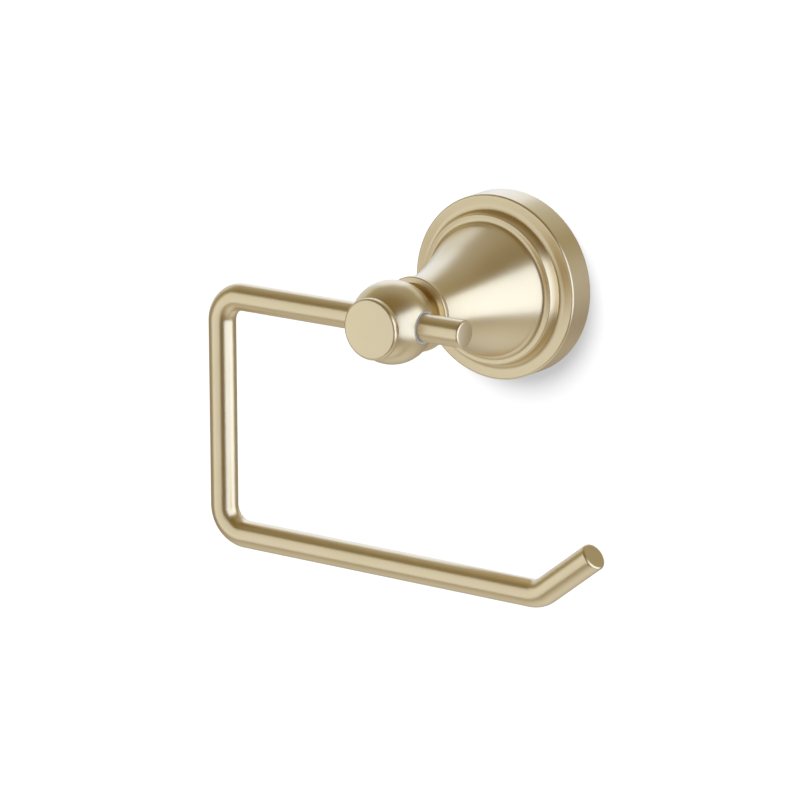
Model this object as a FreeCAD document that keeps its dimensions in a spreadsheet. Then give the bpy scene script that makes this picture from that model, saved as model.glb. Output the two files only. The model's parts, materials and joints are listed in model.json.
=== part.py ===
import FreeCAD, Part

# Toilet paper holder on one post, with a pivoting open bar. Millimetres.
#
# The row frame has its origin at the centre of the wall face, +Y into the wall, +Z up and +X to the right
# of someone who faces the wall. The post stands out along -Y. Each turned piece is drawn in a frame of its
# own, whose Z runs away from the wall and whose Y is up, and its Placement turns that frame onto the wall.
# The pieces of the pivot are placed at the centre of the ball.

import math
import os
import re

import Sketcher

SIZES = {
    # the bar, its bends and its swing
    "bar_diameter": 8.0,
    "bend_radius": 8.0,
    "arm_left": 60.4,
    "arm_right": 50.5,
    "arm_drop": 71.3,
    "stub_reach": 25.0,
    "tip_length": 22.9,
    "tip_angle": 38.7,
    "bar_end_round": 0.7,
    "slot_depth": 1.6,
    "slot_end_gap": 2.0,
    "swing_in": 10.0,
    "swing_out": 100.0,
    # the rose on the wall
    "rose_radius": 27.6,
    "rose_draft": 0.1,
    "rose_front": 9.15,
    "rose_edge_round": 0.65,
    "rose_seat": 11.85,
    "rose_wall": 3.15,
    "rose_web": 5.6,
    "rose_inner_round": 1.2,
    "rose_step": 5.1,
    "cove_radius": 3.5,
    "cove_width": 1.75,
    "step_draft": 0.6,
    # the trumpet post
    "post_reach": 60.0,
    "foot_rim": 1.05,
    "foot_draft": 0.28,
    "foot_edge_round": 0.5,
    "foot_fillet": 2.0,
    "bead_width": 2.7,
    "bell_neck": 9.6,
    "flare_rise": 1.25,
    "flare_run": 11.85,
    "flare_share": 0.98,
    "spigot_step": 5.25,
    "spigot_wall": 2.2,
    "spigot_length": 8.9,
    "cavity_start": 3.7,
    "bolt_bay_radius": 6.5,
    "bolt_bay_depth": 3.5,
    "end_web": 3.9,
    # the ring nut behind the rose
    "nut_thickness": 3.0,
    "nut_slot_width": 3.0,
    "nut_slot_depth": 1.6,
    # the collar, the ball and the cap
    "collar_radius": 10.95,
    "collar_thickness": 2.2,
    "collar_round": 0.45,
    "collar_bevel": 0.45,
    "dish_radius": 9.3,
    "dish_depth": 0.9,
    "neck_radius": 7.6,
    "neck_gap": 1.2,
    "ball_diameter": 24.0,
    "ball_spigot_radius": 4.5,
    "ball_spigot_depth": 2.0,
    "boss_radius": 6.4,
    "boss_height": 1.6,
    "cap_radius": 8.9,
    "cap_thickness": 2.75,
    "cap_dome": 0.35,
    "cap_edge_round": 0.9,
    "cap_back_round": 0.65,
    "cap_recess_gap": 0.15,
    "ring_section": 0.9,
    "ring_groove_depth": 0.8,
    "ring_groove_width": 1.05,
    # the pivot bushes
    "bush_wall": 0.65,
    "bush_length": 5.2,
    "bush_proud": 0.2,
    "bush_edge_round": 0.15,
    # the screws, washers and pin
    "bolt_radius": 3.0,
    "bolt_end_wall": 1.6,
    "bolt_head_radius": 5.0,
    "bolt_head_height": 6.0,
    "bolt_socket": 5.0,
    "bolt_socket_depth": 3.0,
    "washer_radius": 6.0,
    "washer_thickness": 1.6,
    "spring_washer_radius": 5.6,
    "spring_washer_thickness": 1.6,
    "spring_washer_split": 1.0,
    "dowel_radius": 0.9,
    "dowel_offset": 5.95,
    "dowel_in_post": 2.6,
    "dowel_in_ball": 2.4,
    "dog_screw_radius": 2.5,
    "dog_radius": 1.6,
    "dog_screw_socket": 2.5,
    "dog_screw_socket_depth": 2.0,
    "dog_screw_sink": 0.3,
    "grub_radius": 2.0,
    "grub_point": 1.3,
    "grub_socket": 2.0,
    "grub_socket_depth": 1.6,
    "grub_height": 3.4,
    "grub_sink": 0.4,
    # the bracket on the wall
    "bracket_plate": 2.0,
    "bracket_ring_wall": 2.3,
    "bracket_height": 5.4,
    "bracket_groove_floor": 1.5,
    "bracket_groove_depth": 0.8,
    "screw_hole_radius": 2.25,
    "screw_head_room": 3.8,
    # named clearances
    "bracket_gap": 0.3,
    "nut_gap": 1.0,
    "pivot_gap": 0.05,
    "bore_gap": 0.3,
    "dog_side_gap": 0.1,
    "dog_tip_gap": 0.2,
    "thread_gap": 0.05,
    "fit_gap": 0.02,
    "hole_gap": 0.3,
}

# Sizes worked out from the ones above. Those along the post are distances from the wall.
WORKED = {
    "bar_radius": "bar_diameter / 2",
    "ball_radius": "ball_diameter / 2",
    "rose_bore": "rose_radius - rose_wall",
    "web_back": "rose_seat - rose_web",
    "spigot_back": "rose_seat - spigot_length",
    "foot_face": "rose_seat + foot_rim",
    "foot_radius": "rose_radius - rose_step",
    "cove_top": "rose_front + cove_radius - sqrt(cove_radius ^ 2 - cove_width ^ 2)",
    "bell_base": "foot_radius - bead_width",
    "spigot_radius": "foot_radius - spigot_step",
    "spigot_bore": "spigot_radius - spigot_wall",
    "ball_back": "post_reach - sqrt(ball_radius ^ 2 - neck_radius ^ 2)",
    "collar_front": "ball_back - neck_gap",
    "collar_back": "collar_front - collar_thickness",
    "shoulder": "collar_front - dish_depth",
    "bolt_seat": "collar_back - ball_spigot_depth - end_web",
    "bolt_under_head": "bolt_seat - washer_thickness - spring_washer_thickness",
    "cap_foot": "cap_radius - cap_back_round",
    "cap_seat": "post_reach + sqrt(ball_radius ^ 2 - cap_foot ^ 2)",
    "boss_front": "cap_seat + boss_height",
    "cap_front": "cap_seat + cap_thickness",
    "recess_radius": "boss_radius + cap_recess_gap",
    "ball_bore": "bar_radius + bore_gap",
    "bolt_tip": "post_reach - ball_bore - bolt_end_wall",
    "bush_bore": "bar_radius + pivot_gap",
    "bush_radius": "bush_bore + bush_wall",
    "bush_outer": "sqrt(ball_radius ^ 2 - bush_radius ^ 2) + bush_proud",
    "bush_inner": "bush_outer - bush_length",
    "slot_floor": "bar_radius - slot_depth",
    "slot_half_width": "dog_radius + dog_side_gap",
    "dog_tip": "slot_floor + dog_tip_gap",
    "dog_half_angle": "atan(dog_radius / dog_tip) / 1deg",
    "slot_angle": "swing_in + swing_out + 2 * (dog_half_angle + slot_end_gap)",
    "slot_middle": "(swing_out - swing_in) / 2",
    "bracket_radius": "rose_bore - bracket_gap",
    "ring_bore": "bracket_radius - bracket_ring_wall",
    "groove_bottom": "bracket_radius - bracket_groove_depth",
    "nut_radius": "ring_bore - nut_gap",
    "screw_offset": "spigot_bore - screw_head_room",
    "grub_outer": "rose_radius - rose_draft - grub_sink",
    "grub_tip": "groove_bottom + fit_gap",
}

doc = FreeCAD.newDocument("paper_holder")
sheet = doc.addObject("Spreadsheet::Sheet", "Sizes")
for row, (alias, size) in enumerate(SIZES.items(), start=1):
    sheet.set(f"A{row}", alias)
    sheet.set(f"B{row}", str(size))
    sheet.setAlias(f"B{row}", alias)
doc.recompute()
worked = doc.addObject("App::VarSet", "Worked")


def bound(text):
    """The text of a size with each name pointed at the sheet or at the worked-out sizes."""

    def point(match):
        word = match.group(0)
        if word in SIZES:
            return "Sizes." + word
        return "Worked." + word if word in WORKED else word

    return re.sub(r"[a-z_]+", point, text)


for alias, text in WORKED.items():
    worked.addProperty("App::PropertyFloat", alias)
    worked.setExpression(alias, bound(text))
    doc.recompute()


def value(text):
    """The number that a size's text gives."""
    return float(sheet.evalExpression(bound(text)))


def corner(x, y, fillet=None, arc=None):
    """A corner of an outline: its place, the radius it is rounded to, or the radius of the arc that leaves it.
    A positive arc turns anticlockwise on its way to the next corner, and a negative one clockwise."""
    return {"x": x, "y": y, "fillet": fillet, "arc": arc}


def pin(sketch, geometry, end, x, y):
    """Dimensions one point of a sketch from its origin."""
    for kind, text, axis in (("DistanceX", x, -2), ("DistanceY", y, -1)):
        size = value(text)
        if abs(size) < 1e-9:
            sketch.addConstraint(Sketcher.Constraint("PointOnObject", geometry, end, axis))
            continue
        ends = (-1, 1, geometry, end) if size > 0 else (geometry, end, -1, 1)
        index = sketch.addConstraint(Sketcher.Constraint(kind, *ends, abs(size)))
        sketch.setExpression(f"Constraints[{index}]", bound(text if size > 0 else f"-({text})"))


def arc_about(centre, radius, start, finish, anticlockwise):
    """An arc between two points of a circle, and which of its ends is at the start: 1 or 2."""
    circle = Part.Circle(centre, FreeCAD.Vector(0, 0, 1), radius)
    first, last = (start, finish) if anticlockwise else (finish, start)
    angles = [math.atan2(p.y - centre.y, p.x - centre.x) for p in (first, last)]
    if angles[1] < angles[0]:
        angles[1] += 2 * math.pi
    return Part.ArcOfCircle(circle, *angles), 1 if anticlockwise else 2


def draw(sketch, corners, closed=True):
    """Draws straight runs and arcs through the corners, and dimensions every corner and radius."""
    count = len(corners)
    points = [FreeCAD.Vector(value(c["x"]), value(c["y"]), 0) for c in corners]
    starts, ends, rounds = list(points), list(points), {}
    for i, c in enumerate(corners):
        if c["fillet"] is None:
            continue
        before = (points[i - 1] - points[i]).normalize()
        after = (points[(i + 1) % count] - points[i]).normalize()
        half = before.getAngle(after) / 2
        radius = value(c["fillet"])
        ends[i] = points[i] + before * (radius / math.tan(half))
        starts[i] = points[i] + after * (radius / math.tan(half))
        centre = points[i] + (before + after).normalize() * (radius / math.sin(half))
        rounds[i] = arc_about(centre, radius, ends[i], starts[i], before.cross(after).z < 0)

    runs = []
    for i in range(count if closed else count - 1):
        start, finish = starts[i], ends[(i + 1) % count]
        if corners[i]["arc"] is None:
            runs.append((sketch.addGeometry(Part.LineSegment(start, finish)), 1, 2))
            continue
        radius = value(corners[i]["arc"])
        chord = finish - start
        side = FreeCAD.Vector(-chord.y, chord.x, 0).normalize() * math.copysign(1, radius)
        centre = start + chord / 2 + side * math.sqrt(radius**2 - (chord.Length / 2) ** 2)
        shape, first = arc_about(centre, abs(radius), start, finish, radius > 0)
        geometry = sketch.addGeometry(shape)
        index = sketch.addConstraint(Sketcher.Constraint("Radius", geometry, abs(radius)))
        sketch.setExpression(f"Constraints[{index}]", f"abs({bound(corners[i]['arc'])})")
        runs.append((geometry, first, 3 - first))

    for i, c in enumerate(corners):
        arriving = runs[i - 1] if closed or i > 0 else None
        leaving = runs[i] if closed or i < count - 1 else None
        if i in rounds:
            shape, first = rounds[i]
            geometry = sketch.addGeometry(shape)
            sketch.addConstraint(Sketcher.Constraint("Tangent", arriving[0], arriving[2], geometry, first))
            sketch.addConstraint(Sketcher.Constraint("Tangent", leaving[0], leaving[1], geometry, 3 - first))
            index = sketch.addConstraint(Sketcher.Constraint("Radius", geometry, value(c["fillet"])))
            sketch.setExpression(f"Constraints[{index}]", bound(c["fillet"]))
            point = sketch.addGeometry(Part.Point(points[i]), True)
            pin(sketch, point, 1, c["x"], c["y"])
            sketch.addConstraint(Sketcher.Constraint("PointOnObject", point, 1, arriving[0]))
            sketch.addConstraint(Sketcher.Constraint("PointOnObject", point, 1, leaving[0]))
            continue
        if arriving and leaving:
            joint = (arriving[0], arriving[2], leaving[0], leaving[1])
            sketch.addConstraint(Sketcher.Constraint("Coincident", *joint))
        geometry, end = (leaving[0], leaving[1]) if leaving else (arriving[0], arriving[2])
        pin(sketch, geometry, end, c["x"], c["y"])


def new_body(label, along_post=True, at_ball=False):
    """A sub-part. Its Z runs away from the wall when it lies along the post."""
    body = doc.addObject("PartDesign::Body", label)
    body.Label = label
    turn = FreeCAD.Rotation(FreeCAD.Vector(1, 0, 0), 90 if along_post else 0)
    body.Placement = FreeCAD.Placement(FreeCAD.Vector(0, 0, 0), turn)
    if at_ball:
        body.setExpression("Placement.Base.y", bound("-post_reach"))
    return body


def new_sketch(body, name, plane="XZ_Plane", height=None, tilt=None):
    """A sketch on one of the body's origin planes, raised off it by height, or tilted about the sketch's X."""
    sketch = body.newObject("Sketcher::SketchObject", f"{body.Name}_{name}")
    origin = next(f for f in body.Origin.OriginFeatures if f.Role == plane)
    sketch.AttachmentSupport = [(origin, "")]
    sketch.MapMode = "FlatFace"
    if height:
        sketch.setExpression("AttachmentOffset.Base.z", bound(height))
    if tilt:
        turn = FreeCAD.Rotation(FreeCAD.Vector(1, 0, 0), value(tilt))
        sketch.AttachmentOffset = FreeCAD.Placement(FreeCAD.Vector(0, 0, 0), turn)
        sketch.setExpression("AttachmentOffset.Rotation.Angle", bound(tilt))
    doc.recompute()
    return sketch


def feature(body, kind, name, sketch, **settings):
    """A PartDesign feature made from a sketch. One that should cut has to take something away."""
    before = 0 if body.Shape.isNull() else body.Shape.Volume
    made = body.newObject(f"PartDesign::{kind}", f"{body.Name}_{name}")
    made.Profile = sketch
    for setting, choice in settings.items():
        setattr(made, setting, choice)
    doc.recompute()
    if kind in ("Pocket", "Groove") and not made.Shape.Volume < before - 1e-4:
        raise RuntimeError(f"{made.Name} cuts nothing")
    return made


def revolve(body, name, corners, kind="Revolution", axis="V_Axis"):
    """Turns a closed outline, drawn across the body's XZ plane, a full turn about one of its axes."""
    sketch = new_sketch(body, name + "_outline")
    draw(sketch, corners)
    return feature(body, kind, name, sketch, ReferenceAxis=(sketch, [axis]), Angle=360)


def box_corners(left, bottom, right, top):
    """The four corners of an upright rectangle."""
    return [corner(left, bottom), corner(right, bottom), corner(right, top), corner(left, top)]


def hexagon_corners(across_flats):
    """The six corners of a hexagon about the sketch's origin, two of them on its X axis."""
    far = f"{across_flats} / sqrt(3)"
    ring = [("1", "0"), ("0.5", "0.5"), ("-0.5", "0.5"), ("-1", "0"), ("-0.5", "-0.5"), ("0.5", "-0.5")]
    return [corner(f"{x} * {far}", f"{y} * {across_flats}") for x, y in ring]


def add_circle(sketch, x, y, radius):
    """A dimensioned circle in a sketch."""
    centre = FreeCAD.Vector(value(x), value(y), 0)
    circle = Part.Circle(centre, FreeCAD.Vector(0, 0, 1), value(radius))
    geometry = sketch.addGeometry(circle)
    index = sketch.addConstraint(Sketcher.Constraint("Radius", geometry, value(radius)))
    sketch.setExpression(f"Constraints[{index}]", bound(radius))
    pin(sketch, geometry, 3, x, y)


def pocket(body, name, sketch, depth, reverse=False):
    """Cuts a sketch into the body to a depth that the sheet gives."""
    before = body.Shape.Volume
    made = body.newObject("PartDesign::Pocket", f"{body.Name}_{name}")
    made.Profile = sketch
    made.Reversed = reverse
    made.setExpression("Length", bound(depth))
    doc.recompute()
    if not made.Shape.Volume < before - 1e-4:
        raise RuntimeError(f"{made.Name} cuts nothing")
    return made


def make_rose():
    """The stepped flange: a drafted band, a cove up to a steep step, and a hollow for the bracket."""
    body = new_body("rose")
    revolve(body, "turning", [
        corner("rose_bore", "0"),
        corner("rose_radius", "0"),
        corner("rose_radius - rose_draft", "rose_front", fillet="rose_edge_round"),
        corner("foot_radius + step_draft + cove_width", "rose_front", arc="-cove_radius"),
        corner("foot_radius + step_draft", "cove_top"),
        corner("foot_radius", "rose_seat"),
        corner("spigot_radius + thread_gap", "rose_seat"),
        corner("spigot_radius + thread_gap", "web_back"),
        corner("rose_bore", "web_back", fillet="rose_inner_round"),
    ])
    hole = new_sketch(body, "grub_hole")
    add_circle(hole, "0", "grub_height", "grub_radius + thread_gap")
    pocket(body, "grub_bore", hole, "rose_radius + hole_gap", reverse=True)
    return body


def make_bell_post():
    """The trumpet post. Its foot stands on the rose, its threaded spigot passes through the rose's web, and
    its hollow lets a key reach the bolt that holds the ball."""
    body = new_body("bell_post")
    flare = "flare_share * sqrt(flare_rise ^ 2 + flare_run ^ 2)"
    cone_run = "(collar_back - flare_run - foot_face)"
    cone_angle = f"atan((bell_base - bell_neck - flare_rise) / {cone_run})"
    turn = f"({cone_angle} - atan(flare_rise / flare_run))"
    revolve(body, "turning", [
        corner("spigot_bore", "spigot_back"),
        corner("spigot_radius", "spigot_back"),
        corner("spigot_radius", "rose_seat"),
        corner("foot_radius", "rose_seat"),
        corner("foot_radius - foot_draft", "foot_face", fillet="foot_edge_round"),
        corner("bell_base", "foot_face", fillet="foot_fillet"),
        corner("bell_neck + flare_rise", "collar_back - flare_run", fillet=f"{flare} / tan({turn} / 2)"),
        corner("bell_neck", "collar_back"),
        corner("ball_spigot_radius + fit_gap", "collar_back"),
        corner("ball_spigot_radius + fit_gap", "bolt_seat + end_web"),
        corner("bolt_radius + hole_gap", "bolt_seat + end_web"),
        corner("bolt_radius + hole_gap", "bolt_seat"),
        corner("bolt_bay_radius", "bolt_seat"),
        corner("bolt_bay_radius", "bolt_seat - bolt_bay_depth"),
        corner("spigot_bore", "rose_seat + cavity_start"),
    ])
    hole = new_sketch(body, "dowel_hole", "XY_Plane", height="collar_back")
    add_circle(hole, "0", "dowel_offset", "dowel_radius + fit_gap")
    pocket(body, "dowel_bore", hole, "dowel_in_post + hole_gap")
    return body


def make_rose_ring_nut():
    """The ring nut that clamps the post's spigot to the rose, with four slots for a pin key."""
    body = new_body("rose_ring_nut")
    revolve(body, "turning", box_corners(
        "spigot_radius + thread_gap", "web_back - nut_thickness", "nut_radius", "web_back"))
    slot = new_sketch(body, "key_slot", "XY_Plane", height="web_back - nut_thickness")
    draw(slot, box_corners("spigot_radius", "-nut_slot_width / 2", "nut_radius + hole_gap", "nut_slot_width / 2"))
    cut = pocket(body, "key_slot_cut", slot, "nut_slot_depth", reverse=True)
    pattern = body.newObject("PartDesign::PolarPattern", "rose_ring_nut_slots")
    pattern.Originals = [cut]
    pattern.Axis = (slot, ["N_Axis"])
    pattern.Angle = 360
    pattern.Occurrences = 4
    body.Tip = pattern
    doc.recompute()
    return body


def make_neck_collar():
    """The ring between the post and the ball, bevelled in front and dished inside the bevel."""
    body = new_body("neck_collar")
    revolve(body, "turning", [
        corner("ball_spigot_radius + fit_gap", "collar_back"),
        corner("collar_radius", "collar_back", fillet="collar_round"),
        corner("collar_radius", "collar_front - collar_bevel", fillet="collar_round"),
        corner("dish_radius", "collar_front"),
        corner("neck_radius + fit_gap", "shoulder"),
        corner("ball_spigot_radius + fit_gap", "shoulder"),
    ])
    hole = new_sketch(body, "dowel_hole", "XY_Plane", height="collar_back - hole_gap")
    add_circle(hole, "0", "dowel_offset", "dowel_radius + fit_gap")
    pocket(body, "dowel_bore", hole, "collar_thickness + 2 * hole_gap", reverse=True)
    return body


def make_ball_head():
    """The ball, with a spigot and neck behind, a boss for the cap in front, and the cross bore for the bar."""
    body = new_body("ball_head", at_ball=True)
    screw_hole = "dog_screw_radius + thread_gap"
    bolt_hole = "bolt_radius + thread_gap"
    spigot_end = "bolt_seat + end_web + fit_gap - post_reach"
    bolt_hole_end = "bolt_tip + 2 * hole_gap - post_reach"
    revolve(body, "turning", [
        corner("0", bolt_hole_end),
        corner(bolt_hole, bolt_hole_end),
        corner(bolt_hole, spigot_end),
        corner("ball_spigot_radius", spigot_end),
        corner("ball_spigot_radius", "shoulder - post_reach"),
        corner("neck_radius", "shoulder - post_reach"),
        corner("neck_radius", "ball_back - post_reach", arc="ball_radius"),
        corner("cap_foot", "cap_seat - post_reach"),
        corner("boss_radius", "cap_seat - post_reach"),
        corner("boss_radius", "boss_front - post_reach"),
        corner(screw_hole, "boss_front - post_reach"),
        corner(screw_hole, "bar_radius / 2"),
        corner("0", "bar_radius / 2"),
    ])
    far = "ball_radius + hole_gap"
    seat = "bush_radius + fit_gap"
    revolve(body, "cross_bore", [
        corner(f"-({far})", "0"),
        corner(far, "0"),
        corner(far, seat),
        corner("bush_inner", seat),
        corner("bush_inner", "ball_bore"),
        corner("-bush_inner", "ball_bore"),
        corner("-bush_inner", seat),
        corner(f"-({far})", seat),
    ], kind="Groove", axis="H_Axis")
    groove_middle = "cap_seat - post_reach + boss_height / 2"
    revolve(body, "ring_groove", box_corners(
        "boss_radius - ring_groove_depth", f"{groove_middle} - ring_groove_width / 2",
        "boss_radius + hole_gap", f"{groove_middle} + ring_groove_width / 2"), kind="Groove")
    hole = new_sketch(body, "dowel_hole", "XY_Plane", height="shoulder - post_reach")
    add_circle(hole, "0", "dowel_offset", "dowel_radius + fit_gap")
    pocket(body, "dowel_bore", hole, "dowel_in_ball + hole_gap", reverse=True)
    return body


def make_front_cap():
    """The cap: a disc with a shallow dome in front, rounded both ways, and a recess that pushes over the boss."""
    body = new_body("front_cap", at_ball=True)
    dome = "(cap_radius ^ 2 / (2 * cap_dome) + cap_dome / 2)"
    rim = "cap_radius - cap_edge_round"
    rim_front = f"cap_front - post_reach - {dome} + sqrt({dome} ^ 2 - ({rim}) ^ 2)"
    recess_end = "boss_front + cap_recess_gap - post_reach"
    revolve(body, "turning", [
        corner("recess_radius", "cap_seat - post_reach"),
        corner("cap_foot", "cap_seat - post_reach", arc="cap_back_round"),
        corner("cap_radius", "cap_seat + cap_back_round - post_reach"),
        corner("cap_radius", f"{rim_front} - cap_edge_round", arc="cap_edge_round"),
        corner(rim, rim_front, arc=dome),
        corner("0", "cap_front - post_reach"),
        corner("0", recess_end),
        corner("recess_radius", recess_end),
    ])
    return body


def make_cap_o_ring():
    """The ring that grips the cap on its boss."""
    ring = doc.addObject("Part::Torus", "cap_o_ring")
    ring.Label = "cap_o_ring"
    ring.setExpression("Radius1", bound("(boss_radius - ring_groove_depth + recess_radius) / 2"))
    ring.setExpression("Radius2", bound("ring_section / 2"))
    turn = FreeCAD.Rotation(FreeCAD.Vector(1, 0, 0), 90)
    ring.Placement = FreeCAD.Placement(FreeCAD.Vector(0, 0, 0), turn)
    ring.setExpression("Placement.Base.y", bound("-(cap_seat + boss_height / 2)"))
    return ring


def make_arm_retaining_screw():
    """The dog-point screw in the ball's boss. Its point runs in the bar's slot."""
    body = new_body("arm_retaining_screw", at_ball=True)
    top = "boss_front - dog_screw_sink - post_reach"
    revolve(body, "turning", [
        corner("0", "dog_tip"),
        corner("dog_radius", "dog_tip"),
        corner("dog_radius", "ball_bore"),
        corner("dog_screw_radius", "ball_bore"),
        corner("dog_screw_radius", top),
        corner("0", top),
    ])
    socket = new_sketch(body, "socket", "XY_Plane", height=top)
    draw(socket, hexagon_corners("dog_screw_socket"))
    pocket(body, "socket_cut", socket, "dog_screw_socket_depth")
    return body


def make_pivot_bush(label, side):
    """A plain bush for the bar, pressed into one side of the ball. Side is 1 on the right, -1 on the left."""
    body = new_body(label, along_post=False, at_ball=True)
    inner, outer = ("bush_inner", "bush_outer") if side > 0 else ("-bush_inner", "-bush_outer")
    revolve(body, "turning", [
        corner(inner, "bush_bore"),
        corner(outer, "bush_bore"),
        corner(outer, "bush_radius", fillet="bush_edge_round"),
        corner(inner, "bush_radius"),
    ], axis="H_Axis")
    return body


def make_pivot_arm():
    """The bar: one length of round rod with three bends. The stub end carries a part-turn slot, whose two
    ends meet the screw's dog point at the ends of the swing."""
    body = new_body("pivot_arm", along_post=False, at_ball=True)
    path = new_sketch(body, "route")
    draw(path, [
        corner("stub_reach", "0"),
        corner("-arm_left", "0", fillet="bend_radius"),
        corner("-arm_left", "-arm_drop", fillet="bend_radius"),
        corner("arm_right", "-arm_drop", fillet="bend_radius"),
        corner("arm_right + tip_length * cos(tip_angle)", "-arm_drop + tip_length * sin(tip_angle)"),
    ], closed=False)
    section = new_sketch(body, "section", "YZ_Plane", height="stub_reach")
    add_circle(section, "0", "0", "bar_radius")
    rod = feature(body, "AdditivePipe", "rod", section, Spine=(path, [""]), Mode="Frenet")
    ends = [f"Edge{i}" for i, edge in enumerate(rod.Shape.Edges, start=1) if is_rod_end(edge)]
    rounding = body.newObject("PartDesign::Fillet", "pivot_arm_end_rounds")
    rounding.Base = (rod, ends)
    rounding.setExpression("Radius", bound("bar_end_round"))
    doc.recompute()
    slot = new_sketch(body, "slot", "XY_Plane", tilt="180 + slot_middle")
    draw(slot, box_corners("-slot_half_width", "slot_floor", "slot_half_width", "bar_radius + hole_gap"))
    turn = feature(body, "Groove", "slot_cut", slot, ReferenceAxis=(slot, ["H_Axis"]), Midplane=True,
                   Angle=value("slot_angle"))
    turn.setExpression("Angle", bound("slot_angle"))
    return body


def is_rod_end(edge):
    """True for the rim of the rod's flat ends: a full circle with its centre at an end of the route."""
    if not isinstance(edge.Curve, Part.Circle) or len(edge.Vertexes) != 1:
        return False
    ends = [
        (value("stub_reach"), 0),
        (value("arm_right + tip_length * cos(tip_angle)"), value("-arm_drop + tip_length * sin(tip_angle)")),
    ]
    centre = edge.Curve.Center
    return any(math.hypot(centre.x - x, centre.z - z) < 0.01 for x, z in ends)


def make_post_bolt():
    """The socket screw inside the post, which pulls the ball and the collar onto the post's end."""
    body = new_body("post_bolt")
    revolve(body, "turning", [
        corner("0", "bolt_under_head - bolt_head_height"),
        corner("bolt_head_radius", "bolt_under_head - bolt_head_height", fillet="hole_gap"),
        corner("bolt_head_radius", "bolt_under_head"),
        corner("bolt_radius", "bolt_under_head"),
        corner("bolt_radius", "bolt_tip"),
        corner("0", "bolt_tip"),
    ])
    socket = new_sketch(body, "socket", "XY_Plane", height="bolt_under_head - bolt_head_height")
    draw(socket, hexagon_corners("bolt_socket"))
    pocket(body, "socket_cut", socket, "bolt_socket_depth", reverse=True)
    return body


def make_plain_washer():
    """The flat washer against the post's end web."""
    body = new_body("plain_washer")
    revolve(body, "turning", box_corners(
        "bolt_radius + hole_gap", "bolt_seat - washer_thickness", "washer_radius", "bolt_seat"))
    return body


def make_spring_washer():
    """The split spring washer under the bolt's head, drawn flat as it is when tight."""
    body = new_body("spring_washer")
    revolve(body, "turning", box_corners(
        "bolt_radius + thread_gap", "bolt_under_head",
        "spring_washer_radius", "bolt_under_head + spring_washer_thickness"))
    split = new_sketch(body, "split", "XY_Plane", height="bolt_under_head - hole_gap")
    draw(split, box_corners("bolt_radius / 2", "-spring_washer_split / 2",
                            "spring_washer_radius + hole_gap", "spring_washer_split / 2"))
    pocket(body, "split_cut", split, "spring_washer_thickness + 2 * hole_gap", reverse=True)
    return body


def make_locating_pin():
    """The dowel through the collar that keeps the ball square to the post."""
    body = new_body("locating_pin")
    body.setExpression("Placement.Base.z", bound("dowel_offset"))
    revolve(body, "turning", box_corners(
        "0", "collar_back - dowel_in_post", "dowel_radius", "shoulder + dowel_in_ball"))
    return body


def make_rose_set_screw():
    """The grub screw in the underside of the rose. Its point sits in the bracket's groove."""
    body = new_body("rose_set_screw", along_post=False)
    body.setExpression("Placement.Base.y", bound("-grub_height"))
    revolve(body, "turning", [
        corner("0", "-grub_outer"),
        corner("grub_radius", "-grub_outer"),
        corner("grub_radius", "-grub_tip - grub_point"),
        corner("grub_radius - grub_point", "-grub_tip"),
        corner("0", "-grub_tip"),
    ])
    socket = new_sketch(body, "socket", "XY_Plane", height="-grub_outer")
    draw(socket, hexagon_corners("grub_socket"))
    pocket(body, "socket_cut", socket, "grub_socket_depth", reverse=True)
    return body


def make_wall_bracket():
    """The concealed bracket: a plate on the wall with two screw holes, and a grooved ring inside the rose."""
    body = new_body("wall_bracket")
    floor_low = "grub_height - bracket_groove_floor / 2"
    floor_high = "grub_height + bracket_groove_floor / 2"
    revolve(body, "turning", [
        corner("0", "0"),
        corner("bracket_radius", "0"),
        corner("bracket_radius", f"{floor_low} - bracket_groove_depth"),
        corner("groove_bottom", floor_low),
        corner("groove_bottom", floor_high),
        corner("bracket_radius", f"{floor_high} + bracket_groove_depth"),
        corner("bracket_radius", "bracket_height"),
        corner("ring_bore", "bracket_height"),
        corner("ring_bore", "bracket_plate"),
        corner("0", "bracket_plate"),
    ])
    holes = new_sketch(body, "screw_holes", "XY_Plane")
    for side in ("-", ""):
        add_circle(holes, f"{side}screw_offset", "0", "screw_hole_radius")
    pocket(body, "screw_bores", holes, "bracket_plate + hole_gap", reverse=True)
    return body


pieces = [
    make_rose(),
    make_bell_post(),
    make_rose_ring_nut(),
    make_neck_collar(),
    make_ball_head(),
    make_front_cap(),
    make_cap_o_ring(),
    make_arm_retaining_screw(),
    make_pivot_bush("pivot_bush_left", -1),
    make_pivot_bush("pivot_bush_right", 1),
    make_pivot_arm(),
    make_post_bolt(),
    make_plain_washer(),
    make_spring_washer(),
    make_locating_pin(),
    make_rose_set_screw(),
    make_wall_bracket(),
]

doc.recompute()
failed = [o.Name for o in doc.Objects if {"Invalid", "Error"} & set(o.State)]
if failed:
    raise RuntimeError(f"these objects failed to recompute: {failed}")
for piece in pieces:
    if piece.Shape.isNull() or not piece.Shape.isValid() or len(piece.Shape.Solids) != 1:
        raise RuntimeError(f"{piece.Label} is not one valid solid")

os.makedirs("parts", exist_ok=True)
for piece in pieces:
    piece.Shape.exportStep(f"parts/{piece.Label}.step")
    box = piece.Shape.BoundBox
    spans = f"{box.XLength:.2f} x {box.YLength:.2f} x {box.ZLength:.2f}"
    print(f"{piece.Label:22s} {piece.Shape.Volume:10.1f} mm3   {spans}")
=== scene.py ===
# Toilet paper holder: one turned brass post on a wall rose, and an open bar that swings in the post's ball.
#
# The frame has its origin at the centre of the wall face, +Y into the wall, +Z up and +X to the right of
# someone who faces the wall. Lengths are written in millimetres and multiplied by MM, because Blender's
# unit here is the metre.

import json
import math

import bpy
import numpy as np
from mathutils import Matrix, Vector


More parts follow.
